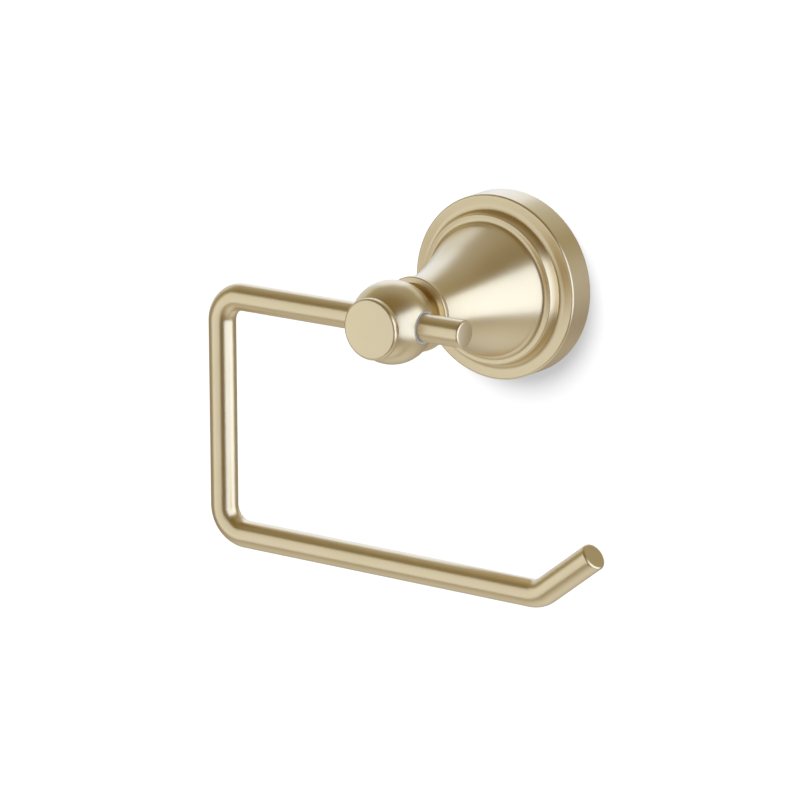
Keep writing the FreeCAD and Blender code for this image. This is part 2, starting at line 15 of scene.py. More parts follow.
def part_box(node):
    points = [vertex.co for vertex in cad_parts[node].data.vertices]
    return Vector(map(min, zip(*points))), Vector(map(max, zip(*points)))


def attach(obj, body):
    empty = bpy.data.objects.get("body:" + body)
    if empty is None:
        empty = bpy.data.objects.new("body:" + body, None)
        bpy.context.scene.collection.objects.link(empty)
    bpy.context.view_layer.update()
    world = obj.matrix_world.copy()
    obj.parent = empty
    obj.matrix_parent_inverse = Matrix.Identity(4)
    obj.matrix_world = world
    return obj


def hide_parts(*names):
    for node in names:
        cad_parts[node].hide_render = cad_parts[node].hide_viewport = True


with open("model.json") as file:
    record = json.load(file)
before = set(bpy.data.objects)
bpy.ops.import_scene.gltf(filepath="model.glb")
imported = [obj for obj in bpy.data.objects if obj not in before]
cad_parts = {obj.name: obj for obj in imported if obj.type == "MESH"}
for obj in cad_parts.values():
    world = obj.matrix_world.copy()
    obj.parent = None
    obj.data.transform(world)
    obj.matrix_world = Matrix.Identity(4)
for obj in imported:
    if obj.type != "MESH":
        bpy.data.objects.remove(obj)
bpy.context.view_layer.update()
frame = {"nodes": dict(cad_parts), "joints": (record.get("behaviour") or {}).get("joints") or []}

MM = 0.001


# ---- Camera -------------------------------------------------------------------------------------------
# A long lens, a little above the holder and to its right, so that the bar's left bend, the ball's cap and
# the flare of the post all show.

camera_azimuth = 35.322
camera_elevation = 14.968
camera_roll = -0.138
camera_distance = 1284.3 * MM
camera_aim = Vector((-11.545, -40.0, -28.855)) * MM
camera_lens = 200.39
camera_sensor = 36.0


def toward(azimuth, elevation):
    """The unit vector (sin a cos e, -cos a cos e, sin e).

    Azimuth 0 leads away from the wall, and 90 to the right."""
    a, e = math.radians(azimuth), math.radians(elevation)
    return Vector((math.sin(a) * math.cos(e), -math.cos(a) * math.cos(e), math.sin(e)))


camera_data = bpy.data.cameras.new("camera")
camera_data.lens = camera_lens
camera_data.sensor_width = camera_sensor
camera_data.clip_start = 10 * MM
camera = bpy.data.objects.new("camera", camera_data)
camera.location = camera_aim + toward(camera_azimuth, camera_elevation) * camera_distance
facing = toward(camera_azimuth, camera_elevation).to_track_quat("Z", "Y").to_matrix()
camera.rotation_euler = (facing @ Matrix.Rotation(math.radians(camera_roll), 3, "Z")).to_euler()
bpy.context.scene.collection.objects.link(camera)
bpy.context.scene.camera = camera
bpy.context.scene.view_settings.view_transform = "Standard"


# ---- Studio -------------------------------------------------------------------------------------------
# Four soft boxes round the holder, a room that is warm and dim overhead, darkest in front and pale below,
# a white wall behind the rose and a pale floor. The wall shows only its front, so that the holder can be
# seen from behind, and has a broad lamp of its own that gives the rose its faint shadow.

box_distance = 1500 * MM
floor_drop = 680 * MM
stage_half_width = 5000 * MM
wall_gap = 0.05 * MM
wall_glow = 0.55
wall_tone = 0.01
wall_lamp_strength = 190.0
wall_lamp_spread = 50.0
wall_lamp_azimuth = -14.0
wall_lamp_elevation = 30.0
floor_tone = 0.80
dark_place = (27, 24)
dark_reach = (49, 100)
dark_tint = (0.52, 0.41, 0.18)


def add_node(tree, kind, inputs=None, **settings):
    """Adds a node. Inputs gives sockets, by name or number, a value or the output that feeds them."""
    made = tree.nodes.new(kind)
    for name, setting in settings.items():
        setattr(made, name, setting)
    for name, given in (inputs or {}).items():
        if isinstance(given, bpy.types.NodeSocket):
            tree.links.new(given, made.inputs[name])
        else:
            made.inputs[name].default_value = given
    return made


def soft_box(name, azimuth, elevation, across, height, radiance, colour):
    """A rectangular lamp that faces the ball and spans the given angles.

    Its power is pi * area * radiance."""
    lamp = bpy.data.lights.new(name, "AREA")
    lamp.shape = "RECTANGLE"
    lamp.size = 2 * box_distance * math.tan(math.radians(across / 2))
    lamp.size_y = 2 * box_distance * math.tan(math.radians(height / 2))
    lamp.energy = math.pi * lamp.size * lamp.size_y * radiance
    lamp.color = colour
    made = bpy.data.objects.new(name, lamp)
    centre = (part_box("ball_head")[0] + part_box("ball_head")[1]) / 2
    made.location = centre + toward(azimuth, elevation) * box_distance
    made.rotation_euler = toward(azimuth, elevation).to_track_quat("Z", "Y").to_euler()
    made.visible_camera = False
    bpy.context.scene.collection.objects.link(made)


# Azimuth, elevation, breadth and height in degrees, all seen from the ball, then radiance and colour.
soft_boxes = {
    "right_soft_box": (92, 2, 84, 67, 1.94, (0.54, 0.67, 1.00)),
    "left_soft_box": (-26, -1, 74, 66, 0.92, (0.69, 0.80, 1.00)),
    "back_soft_box": (-145, 26, 29, 46, 0.77, (0.44, 0.56, 1.00)),
    "far_left_soft_box": (-145, 17, 90, 51, 0.67, (0.58, 0.73, 1.00)),
}
for box_name, box_setting in soft_boxes.items():
    soft_box(box_name, *box_setting)

world = bpy.data.worlds.new("studio")
world.use_nodes = True
world.node_tree.nodes.clear()
look = add_node(world.node_tree, "ShaderNodeTexCoord").outputs["Generated"]
height = add_node(world.node_tree, "ShaderNodeSeparateXYZ", {"Vector": look}).outputs["Z"]
raised = add_node(world.node_tree, "ShaderNodeMapRange",
                  {"Value": height, "From Min": -1.0}).outputs["Result"]
sky = add_node(world.node_tree, "ShaderNodeValToRGB", {"Fac": raised})
sky.color_ramp.interpolation = "LINEAR"
bands = [(0.0, (0.80, 0.83, 0.91)), (0.13, (0.60, 0.58, 0.55)), (0.25, (0.37, 0.33, 0.30)),
         (0.75, (0.36, 0.31, 0.17)), (0.854, (0.41, 0.37, 0.27)), (1.0, (0.51, 0.50, 0.51))]
for place, tone in bands[2:]:
    sky.color_ramp.elements.new(place)
for element, (place, tone) in zip(sky.color_ramp.elements, bands):
    element.position = place
    element.color = (*tone, 1)
near = add_node(world.node_tree, "ShaderNodeVectorMath", {0: look, 1: toward(*dark_place)},
                operation="DOT_PRODUCT").outputs["Value"]
dark = add_node(world.node_tree, "ShaderNodeMapRange", {
    "Value": near, "From Min": math.cos(math.radians(dark_reach[1])),
    "From Max": math.cos(math.radians(dark_reach[0]))}, interpolation_type="SMOOTHSTEP").outputs["Result"]
room = add_node(world.node_tree, "ShaderNodeMix", {0: dark, 6: sky.outputs["Color"], 7: (*dark_tint, 1)},
                data_type="RGBA", blend_type="MULTIPLY").outputs[2]
dim = add_node(world.node_tree, "ShaderNodeBackground", {"Color": room, "Strength": 1.0})
white = add_node(world.node_tree, "ShaderNodeBackground", {"Color": (1, 1, 1, 1), "Strength": 1.0})
seen = add_node(world.node_tree, "ShaderNodeLightPath").outputs["Is Camera Ray"]
both = add_node(world.node_tree, "ShaderNodeMixShader", {0: seen, 1: dim.outputs[0], 2: white.outputs[0]})
add_node(world.node_tree, "ShaderNodeOutputWorld", {"Surface": both.outputs[0]})
bpy.context.scene.world = world


def plane(name, centre, along, across):
    """A square sheet with the corners centre +- along +- across. Its front faces along x across."""
    signs = np.array([(-1, -1), (1, -1), (1, 1), (-1, 1)], float)
    corners = np.array(centre) + signs[:, :1] * np.array(along) + signs[:, 1:] * np.array(across)
    mesh = bpy.data.meshes.new(name)
    mesh.from_pydata(corners.tolist(), [], [(0, 1, 2, 3)])
    made = bpy.data.objects.new(name, mesh)
    bpy.context.scene.collection.objects.link(made)
    return made


floor = plane("floor", (0, 0, -floor_drop), (stage_half_width, 0, 0), (0, stage_half_width, 0))
floor.visible_glossy = False
paint = bpy.data.materials.new("pale_matt_floor")
paint.use_nodes = True
paint.node_tree.nodes.clear()
matt = add_node(paint.node_tree, "ShaderNodeBsdfDiffuse",
                {"Color": (floor_tone, floor_tone, floor_tone, 1)})
add_node(paint.node_tree, "ShaderNodeOutputMaterial", {"Surface": matt.outputs[0]})
floor.data.materials.append(paint)

wall = plane("wall", (0, wall_gap, stage_half_width - floor_drop), (stage_half_width, 0, 0),
             (0, 0, stage_half_width))
wall.visible_glossy = False
wall.visible_diffuse = False
wall.visible_shadow = False
paint = bpy.data.materials.new("white_wall")
paint.use_nodes = True
paint.node_tree.nodes.clear()
matt = add_node(paint.node_tree, "ShaderNodeBsdfDiffuse", {"Color": (wall_tone, wall_tone, wall_tone, 1)})
glow = add_node(paint.node_tree, "ShaderNodeEmission", {"Color": (1, 1, 1, 1), "Strength": wall_glow})
front = add_node(paint.node_tree, "ShaderNodeAddShader", {0: matt.outputs[0], 1: glow.outputs[0]})
clear = add_node(paint.node_tree, "ShaderNodeBsdfTransparent")
behind = add_node(paint.node_tree, "ShaderNodeNewGeometry").outputs["Backfacing"]
either = add_node(paint.node_tree, "ShaderNodeMixShader",
                  {0: behind, 1: front.outputs[0], 2: clear.outputs[0]})
add_node(paint.node_tree, "ShaderNodeOutputMaterial", {"Surface": either.outputs[0]})
wall.data.materials.append(paint)

lamp = bpy.data.lights.new("wall_lamp", "SUN")
lamp.energy = wall_lamp_strength
lamp.angle = math.radians(wall_lamp_spread)
wall_lamp = bpy.data.objects.new("wall_lamp", lamp)
wall_lamp.rotation_euler = toward(wall_lamp_azimuth, wall_lamp_elevation).to_track_quat("Z", "Y").to_euler()
bpy.context.scene.collection.objects.link(wall_lamp)
only_wall = bpy.data.collections.new("lit_by_wall_lamp")
only_wall.objects.link(wall)
wall_lamp.light_linking.receiver_collection = only_wall


# ---- Rose ---------------------------------------------------------------------------------------------
# The stepped flange against the wall: a slightly tapered band, a shallow cove, and a steep step that the
# post's foot carries on. Turned and bored from brass bar, brushed on the lathe and coated satin gold.

rose_low, rose_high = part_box("rose")
rose_radius = rose_high.x
rose_seat = -rose_low.y
rose_draft = 0.1 * MM
rose_front = 9.15 * MM
rose_edge_round = 0.65 * MM
rose_wall_break = 0.25 * MM
rose_cove = 3.5 * MM
cove_width = 1.75 * MM
step_draft = 0.6 * MM
foot_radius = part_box("bell_post")[1].x
rose_bore = 24.45 * MM
rose_web_back = rose_seat - 5.6 * MM
rose_inner_round = 1.2 * MM
spigot_hole = 17.3 * MM
screw_hole = 2.05 * MM
screw_height = 3.4 * MM
screw_hole_sides = 48
cove_points = 16
drill_margin = 1 * MM
turned_sides = 256
crease_angle = math.radians(30)


def outline(corners, step=0.45 * MM, turn=6):
    """Samples a closed outline of straight runs with rounded corners.

    A corner is (x, y) or (x, y, radius). Its arc touches both runs at radius / tan(half the corner's angle)
    from the corner, and its points are centre + radius * (cos t, sin t) with t evenly spaced, at most turn
    degrees apart. A straight run is cut in equal parts no longer than step."""
    places = np.array([c[:2] for c in corners], float)
    starts, pieces = [], []
    for i, corner in enumerate(corners):
        if len(corner) == 2:
            starts.append((places[i], places[i]))
            pieces.append(places[i:i + 1])
            continue
        before = places[i - 1] - places[i]
        after = places[(i + 1) % len(corners)] - places[i]
        before, after = before / np.linalg.norm(before), after / np.linalg.norm(after)
        half = math.acos(np.clip(before @ after, -1, 1)) / 2
        reach = corner[2] / math.tan(half)
        middle = before + after
        centre = places[i] + middle / np.linalg.norm(middle) * corner[2] / math.sin(half)
        first, last = places[i] + before * reach - centre, places[i] + after * reach - centre
        t0 = math.atan2(first[1], first[0])
        sweep = (math.atan2(last[1], last[0]) - t0 + math.pi) % (2 * math.pi) - math.pi
        count = max(3, math.ceil(abs(sweep) / math.radians(turn)), math.ceil(abs(sweep) * corner[2] / step))
        t = t0 + sweep * np.linspace(0, 1, count + 1)
        arc = centre + corner[2] * np.stack((np.cos(t), np.sin(t)), axis=1)
        starts.append((arc[0], arc[-1]))
        pieces.append(arc)
    joined = []
    for i, piece in enumerate(pieces):
        here, there = starts[i][1], starts[(i + 1) % len(pieces)][0]
        count = max(1, math.ceil(np.linalg.norm(there - here) / step))
        share = np.linspace(0, 1, count + 1)[1:-1, None]
        joined += [piece, here + share * (there - here)]
    return np.vstack(joined)


def skin(name, rings, closed=False, poles=()):
    """A mesh piece over a grid of rings, an array of rings x points x 3, each ring closed on itself.

    Point j of ring i is joined to its neighbours in the ring and in the next ring. Closed joins the last
    ring to the first. Poles are the points that close the first and the last ring, if both are given. The
    faces are turned outwards by the sign of the volume, the sum of a . (b x c) / 6 over the faces."""
    count, sides = rings.shape[:2]
    i, j = np.meshgrid(np.arange(count if closed else count - 1), np.arange(sides), indexing="ij")
    k, m = (i + 1) % count, (j + 1) % sides
    quads = np.stack((i * sides + j, i * sides + m, k * sides + m, k * sides + j), axis=-1).reshape(-1, 4)
    points = rings.reshape(-1, 3)
    fans = np.zeros((0, 3), int)
    if len(poles):
        around = np.arange(sides)
        beside = (around + 1) % sides
        last = (count - 1) * sides
        first_pole = np.full(sides, len(points))
        fans = np.vstack((
            np.stack((first_pole, beside, around), axis=1),
            np.stack((first_pole + 1, last + around, last + beside), axis=1),
        ))
        points = np.vstack((points, np.array(poles, float)))
    triangles = np.vstack((quads[:, :3], quads[:, [0, 2, 3]], fans))
    a, b, c = (points[triangles[:, n]] for n in range(3))
    if (a * np.cross(b, c)).sum() < 0:
        quads, fans = quads[:, ::-1], fans[:, ::-1]
    mesh = bpy.data.meshes.new(name)
    mesh.from_pydata(points.tolist(), [], quads.tolist() + fans.tolist())
    return shaded(name, mesh)


def shaded(name, mesh):
    """An object with smooth faces, and a crease where two faces meet at more than the crease angle."""
    mesh.polygons.foreach_set("use_smooth", np.ones(len(mesh.polygons), bool))
    mesh.set_sharp_from_angle(angle=crease_angle)
    made = bpy.data.objects.new(name, mesh)
    bpy.context.scene.collection.objects.link(made)
    return made


def turned(name, shape, poles=()):
    """A piece turned about the post's axis.

    Shape is its outline, an array of (radius, distance from wall), and a point is (radius * cos t,
    -distance, radius * sin t). Poles are the distances along the axis that close it."""
    t = np.linspace(0, 2 * math.pi, turned_sides, endpoint=False)
    radius, distance = shape[:, :1], shape[:, 1:]
    rings = np.stack((radius * np.cos(t), -distance * np.ones_like(t), radius * np.sin(t)), axis=-1)
    return skin(name, rings, closed=not len(poles), poles=[(0, -p, 0) for p in poles])


def drilled(piece, cutter):
    """Cuts one piece out of another, which keeps its name, and drops the cutter."""
    cut = piece.modifiers.new("hole", "BOOLEAN")
    cut.operation = "DIFFERENCE"
    cut.solver = "EXACT"
    cut.object = cutter
    bpy.context.view_layer.update()
    mesh = bpy.data.meshes.new_from_object(piece.evaluated_get(bpy.context.evaluated_depsgraph_get()))
    name, old = piece.name, piece.data
    bpy.data.objects.remove(piece)
    bpy.data.objects.remove(cutter)
    bpy.data.meshes.remove(old)
    mesh.materials.clear()
    return shaded(name, mesh)


def linear(code):
    """A hex sRGB colour's linear light as RGBA.

    It is c / 12.92 up to c = 0.04045, and ((c + 0.055) / 1.055) ** 2.4 above it."""
    srgb = np.array([int(code[n:n + 2], 16) / 255 for n in (1, 3, 5)])
    light = np.where(srgb <= 0.04045, srgb / 12.92, ((srgb + 0.055) / 1.055) ** 2.4)
    return (*light.tolist(), 1.0)


def new_material(name):
    """An empty node material."""
    made = bpy.data.materials.new(name)
    made.use_nodes = True
    made.node_tree.nodes.clear()
    return made


brass_light = "#E9D7AE"
brass_deep = "#E4D1A6"
line_spacing = 0.30 * MM
line_length = 7.0 * MM
cloud_size = 14.0 * MM
line_height = 0.0012 * MM
line_strength = 0.12
turned_gloss = (0.28, 0.34)


def satin_brass(name, lines_of, gloss):
    """Brass that is brushed with fine abrasive, coated pale gold and lacquered.

    The brushing gives the highlights their broad soft edge, its lines vary the gloss and the surface by a
    hair, and the coating's tone drifts slowly from place to place. Real lines are 0.05 mm apart; these are
    drawn 0.3 mm apart so that they show. Lines_of(tree) gives the coordinate that the lines follow, with
    one line per unit. Gloss is the least and the most roughness."""
    material = new_material(name)
    tree = material.node_tree
    place = add_node(tree, "ShaderNodeTexCoord").outputs["Object"]
    lines = add_node(tree, "ShaderNodeTexNoise", {"Vector": lines_of(tree), "Scale": 1.0, "Detail": 3.0})
    cloud = add_node(tree, "ShaderNodeTexNoise", {"Vector": place, "Scale": 1 / cloud_size, "Detail": 2.0})
    tone = add_node(tree, "ShaderNodeMix", {0: cloud.outputs["Fac"], 6: linear(brass_light),
                                            7: linear(brass_deep)}, data_type="RGBA")
    matt = add_node(tree, "ShaderNodeMapRange", {"Value": lines.outputs["Fac"], "From Min": 0.25,
                                                 "From Max": 0.75, "To Min": gloss[0], "To Max": gloss[1]})
    relief = add_node(tree, "ShaderNodeBump", {"Height": lines.outputs["Fac"], "Strength": line_strength,
                                               "Distance": line_height})
    surface = add_node(tree, "ShaderNodeBsdfPrincipled", {
        "Base Color": tone.outputs[2], "Metallic": 1.0, "Roughness": matt.outputs["Result"],
        "Normal": relief.outputs["Normal"]})
    add_node(tree, "ShaderNodeOutputMaterial", {"Surface": surface.outputs[0]})
    return material


def lines_around_post(tree):
    """Brush lines that run round the post's axis: the coordinate is (radius, distance from wall) per line
    spacing, plus a little of the place itself, so that each line fades after one line length."""
    place = add_node(tree, "ShaderNodeTexCoord").outputs["Object"]
    flat = add_node(tree, "ShaderNodeVectorMath", {0: place, 1: (1, 0, 1)}, operation="MULTIPLY")
    radius = add_node(tree, "ShaderNodeVectorMath", {0: flat.outputs[0]}, operation="LENGTH")
    distance = add_node(tree, "ShaderNodeSeparateXYZ", {0: place}).outputs["Y"]
    across = add_node(tree, "ShaderNodeCombineXYZ", {0: radius.outputs["Value"], 1: distance})
    spaced = add_node(tree, "ShaderNodeVectorMath", {0: across.outputs[0], "Scale": 1 / line_spacing},
                      operation="SCALE")
    along = add_node(tree, "ShaderNodeVectorMath", {0: place, "Scale": 1 / line_length}, operation="SCALE")
    return add_node(tree, "ShaderNodeVectorMath", {0: spaced.outputs[0], 1: along.outputs[0]},
                    operation="ADD").outputs[0]


turned_brass = satin_brass("brushed_brass_turned", lines_around_post, turned_gloss)

t = np.linspace(0, math.asin(cove_width / rose_cove), cove_points)
cove_start = foot_radius + step_draft + cove_width
cove = np.stack((cove_start - rose_cove * np.sin(t), rose_front + rose_cove * (1 - np.cos(t))), axis=1)
rose = turned("rose_flange", outline([
    (rose_bore, 0),
    (rose_radius, 0, rose_wall_break),
    (rose_radius - rose_draft, rose_front, rose_edge_round),
    *cove.tolist(),
    (foot_radius, rose_seat),
    (spigot_hole, rose_seat),
    (spigot_hole, rose_web_back),
    (rose_bore, rose_web_back, rose_inner_round),
]))
t = np.linspace(0, 2 * math.pi, screw_hole_sides, endpoint=False)
depth = np.array([rose_radius + drill_margin, rose_bore - drill_margin])[:, None]
drill = np.stack((screw_hole * np.cos(t) + 0 * depth, screw_hole * np.sin(t) - screw_height + 0 * depth,
                  -depth * np.ones_like(t)), axis=-1)
drill = skin("drill", drill, poles=[(0, -screw_height, -depth[0, 0]), (0, -screw_height, -depth[1, 0])])
rose = drilled(rose, drill)
rose.data.materials.append(turned_brass)
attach(rose, "post")
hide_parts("rose")

only_rose = bpy.data.collections.new("shades_wall_lamp")
only_rose.objects.link(rose)
wall_lamp.light_linking.blocker_collection = only_rose


# ---- Bell post ----------------------------------------------------------------------------------------
# The trumpet-shaped post: a round foot with a fine bead, a cone, and a flare that straightens into the
# neck. Turned from brass bar, bored for its bolt, and screwed to the rose by the spigot behind the foot.

post_end = -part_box("bell_post")[0].y
foot_face = rose_seat + 1.05 * MM
foot_edge_round = 0.5 * MM
foot_draft = 0.28 * MM
foot_fillet = 2.0 * MM
bell_base = foot_radius - 2.7 * MM
bell_neck = 9.6 * MM
flare_rise = 1.25 * MM
flare_run = 11.85 * MM
flare_share = 0.98
spigot_back = -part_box("bell_post")[1].y
spigot_radius = 17.25 * MM
spigot_bore = 15.05 * MM
cavity_start = rose_seat + 3.7 * MM
bolt_bay = (6.5 * MM, post_end - 9.4 * MM)
bolt_hole = (3.3 * MM, post_end - 5.9 * MM)
ball_socket = (4.52 * MM, post_end - 2.0 * MM)

cone_angle = math.atan((bell_base - bell_neck - flare_rise) / (post_end - flare_run - foot_face))
flare_turn = cone_angle - math.atan(flare_rise / flare_run)
flare_round = flare_share * math.hypot(flare_rise, flare_run) / math.tan(flare_turn / 2)

post = turned("bell_post_body", outline([
    (spigot_bore, spigot_back),
    (spigot_radius, spigot_back),
    (spigot_radius, rose_seat),
    (foot_radius, rose_seat),
    (foot_radius - foot_draft, foot_face, foot_edge_round),
    (bell_base, foot_face, foot_fillet),
    (bell_neck + flare_rise, post_end - flare_run, flare_round),
    (bell_neck, post_end),
    (ball_socket[0], post_end),
    ball_socket,
    (bolt_hole[0], ball_socket[1]),
    bolt_hole,
    (bolt_bay[0], bolt_hole[1]),
    bolt_bay,
    (spigot_bore, cavity_start),
]))
post.data.materials.append(turned_brass)
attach(post, "post")
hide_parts("bell_post")


# ---- Neck collar --------------------------------------------------------------------------------------
# The thin ring between the post and the ball: a rounded rim, a bevelled front, and a shallow dish that the
# ball's neck stands in. Turned brass, held by the bolt and kept from turning by the dowel.

collar_low, collar_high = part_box("neck_collar")
collar_radius = collar_high.x
collar_back, collar_front = -collar_high.y, -collar_low.y
collar_rim_round = 0.45 * MM
collar_bevel = 0.45 * MM
dish_radius = 9.3 * MM
dish_edge_round = 0.15 * MM
neck_radius = 7.6 * MM
neck_clearance = 0.02 * MM
shoulder = collar_front - 0.9 * MM

collar = turned("neck_collar_ring", outline([
    (ball_socket[0], collar_back),
    (collar_radius, collar_back, collar_rim_round),
    (collar_radius, collar_front - collar_bevel, collar_rim_round),
    (dish_radius, collar_front, dish_edge_round),
    (neck_radius + neck_clearance, shoulder),
    (ball_socket[0], shoulder),
], step=0.25 * MM))
collar.data.materials.append(turned_brass)
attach(collar, "post")
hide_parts("neck_collar")


# ---- Ball head ----------------------------------------------------------------------------------------
# The ball that carries the bar: one turned brass piece with a neck and spigot behind, a flat seat and a
# boss in front, and a cross bore, stepped for the two nylon bushes.

ball_low, ball_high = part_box("ball_head")
ball_radius = (ball_high.z - ball_low.z) / 2
pivot = -frame["joints"][0]["pos_m"][1]
cap_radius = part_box("front_cap")[1].x
cap_back_round = 0.65 * MM
cap_foot = cap_radius - cap_back_round
boss_radius = 6.4 * MM
boss_front = -ball_low.y
spigot_end = -ball_high.y
spigot_reach = 4.5 * MM
thread_hole = 3.05 * MM
thread_end = pivot - 5.3 * MM
retainer_hole = 2.55 * MM
retainer_end = pivot + 2.0 * MM
bush_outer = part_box("pivot_bush_right")[1].x
bush_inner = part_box("pivot_bush_right")[0].x
bush_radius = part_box("pivot_bush_right")[1].z
bush_fit = 0.02 * MM
cross_bore = 4.3 * MM
cross_sides = 128


def ball_arc(first, last, finest=2.0):
    """The ball's outline between two radii, from the back round to the front: radius R sin t and distance
    pivot - R cos t, with t evenly spaced."""
    t0, t1 = math.asin(first / ball_radius), math.pi - math.asin(last / ball_radius)
    t = np.linspace(t0, t1, math.ceil(math.degrees(t1 - t0) / finest) + 1)
    return np.stack((ball_radius * np.sin(t), pivot - ball_radius * np.cos(t)), axis=1)


back = np.array([(thread_hole, thread_end), (thread_hole, spigot_end), (spigot_reach, spigot_end),
                 (spigot_reach, shoulder), (neck_radius, shoulder)])
cap_seat = ball_arc(neck_radius, cap_foot)[-1, 1]
front_end = np.array([(boss_radius, cap_seat), (boss_radius, boss_front), (retainer_hole, boss_front),
                      (retainer_hole, retainer_end)])
ball = turned("ball_head_body", np.vstack((back, ball_arc(neck_radius, cap_foot), front_end)),
              poles=(thread_end, retainer_end))


def turned_across(name, shape, poles=()):
    """A piece turned about the bar's pivot.

    Shape is an array of (distance along +X, radius), and a point is (distance,
    -pivot + radius * cos t, radius * sin t). Poles are the distances along +X that close it."""
    t = np.linspace(0, 2 * math.pi, cross_sides, endpoint=False)
    distance, radius = shape[:, :1], shape[:, 1:]
    rings = np.stack((distance * np.ones_like(t), radius * np.cos(t) - pivot, radius * np.sin(t)), axis=-1)
    return skin(name, rings, closed=not len(poles), poles=[(p, -pivot, 0) for p in poles])


drill_end = ball_radius + drill_margin
seat_radius = bush_radius + bush_fit
drill = turned_across("drill", np.array([
    (-drill_end, seat_radius), (-bush_inner, seat_radius), (-bush_inner, cross_bore),
    (bush_inner, cross_bore), (bush_inner, seat_radius), (drill_end, seat_radius),
]), poles=(-drill_end, drill_end))
ball = drilled(ball, drill)
ball.data.materials.append(turned_brass)
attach(ball, "post")
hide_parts("ball_head")


# ---- Front cap ----------------------------------------------------------------------------------------
# The disc that pushes over the ball's boss and hides the retaining screw. Its face is very slightly domed
# and its rim is rounded both ways; it is faced on the lathe, so its brush lines are circles.

cap_front = -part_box("front_cap")[0].y
cap_edge_round = 0.9 * MM
cap_dome = 0.35 * MM
recess_radius = 6.55 * MM
recess_clearance = 0.15 * MM
recess_end = boss_front + recess_clearance
quarter_points = 13
cap_dome_points = 24

dome_radius = cap_radius**2 / (2 * cap_dome) + cap_dome / 2
rim = cap_radius - cap_edge_round
rim_front = cap_front - dome_radius + math.sqrt(dome_radius**2 - rim**2)
t = np.radians(np.linspace(0, 90, quarter_points))[:, None]
edge = np.array((rim, rim_front - cap_edge_round)) + cap_edge_round * np.hstack((np.cos(t), np.sin(t)))
r = np.linspace(rim, 0, cap_dome_points)[1:-1, None]
dome = np.hstack((r, cap_front - dome_radius + np.sqrt(dome_radius**2 - r**2)))
side_low, side_high = cap_seat + cap_back_round, rim_front - cap_edge_round
under = np.array((cap_foot, side_low)) + cap_back_round * np.hstack((np.sin(t), -np.cos(t)))
side = np.linspace((cap_radius, side_low), (cap_radius, side_high), 5)[1:-1]
recess = np.array([(recess_radius, recess_end), (recess_radius, cap_seat)])
cap = turned("front_cap_disc", np.vstack((recess, under, side, edge, dome)), poles=(recess_end, cap_front))
cap.data.materials.append(turned_brass)
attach(cap, "post")
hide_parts("front_cap")


# ---- Bar ----------------------------------------------------------------------------------------------
# The swinging bar: one length of 8 mm drawn brass rod with three bends, linished along its length and
# coated like the rest. The stub on the right is slightly domed; the raised tip keeps the roll on.

arm_low, arm_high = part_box("pivot_arm")
bar_radius = (arm_high.y - arm_low.y) / 2
bend_radius = 8.0 * MM
stub_reach = 25.0 * MM
arm_left = -arm_low.x - bar_radius
arm_drop = -arm_low.z - bar_radius
arm_right = 50.5 * MM
tip_length = 22.9 * MM
tip_angle = math.radians(38.7)
bar_edge_round = 0.7 * MM
stub_dome = 0.10 * MM
bar_sides = 96
bar_step = 1.5 * MM
end_face_points = 14
rod_gloss = (0.27, 0.33)


def route(corners, bend, step, turn=4):
    """The bar's centre line in the X-Z plane, and its direction there.

    Each inner corner is replaced by a tangent arc of the bend's radius, whose point is the arc's start +
    bend * (side * (1 - cos t) + run * sin t). Its points are at most turn degrees apart, and straight
    runs are cut in equal parts no longer than step."""
    places = np.array(corners, float)
    line, way = [], []
    here = places[0]
    for i in range(1, len(places)):
        run = (places[i] - places[i - 1]) / np.linalg.norm(places[i] - places[i - 1])
        if i < len(places) - 1:
            after = (places[i + 1] - places[i]) / np.linalg.norm(places[i + 1] - places[i])
            angle = math.atan2(run[0] * after[1] - run[1] * after[0], run @ after)
            stop = places[i] - run * bend * math.tan(abs(angle) / 2)
        else:
            stop = places[i]
        share = np.linspace(0, 1, math.ceil(np.linalg.norm(stop - here) / step) + 1)
        share = share[:-1] if i < len(places) - 1 else share
        line.append(here + share[:, None] * (stop - here))
        way.append(np.ones((len(share), 1)) * run)
        if i < len(places) - 1:
            side = np.array((-run[1], run[0])) * math.copysign(1, angle)
            t = np.linspace(0, abs(angle), math.ceil(math.degrees(abs(angle)) / turn) + 1)[:, None]
            line.append(stop + bend * (side * (1 - np.cos(t)) + run * np.sin(t)))
            way.append(run * np.cos(t) + side * np.sin(t))
            here = line[-1][-1]
            line[-1], way[-1] = line[-1][:-1], way[-1][:-1]
    return np.vstack(line), np.vstack(way)


def rod_end(dome):
    """Offsets past the last full ring and radii of a rounded rod end: a quarter circle, then a face that
    rises by dome * (1 - (r / face) ** 2)."""
    t = np.radians(np.linspace(0, 90, quarter_points))[1:]
    face = bar_radius - bar_edge_round
    r = np.linspace(face, 0, end_face_points)[1:-1]
    offset = np.concatenate((bar_edge_round * np.sin(t), bar_edge_round + dome * (1 - (r / face) ** 2)))
    radius = np.concatenate((face + bar_edge_round * np.cos(t), r))
    return offset, radius, bar_edge_round + dome


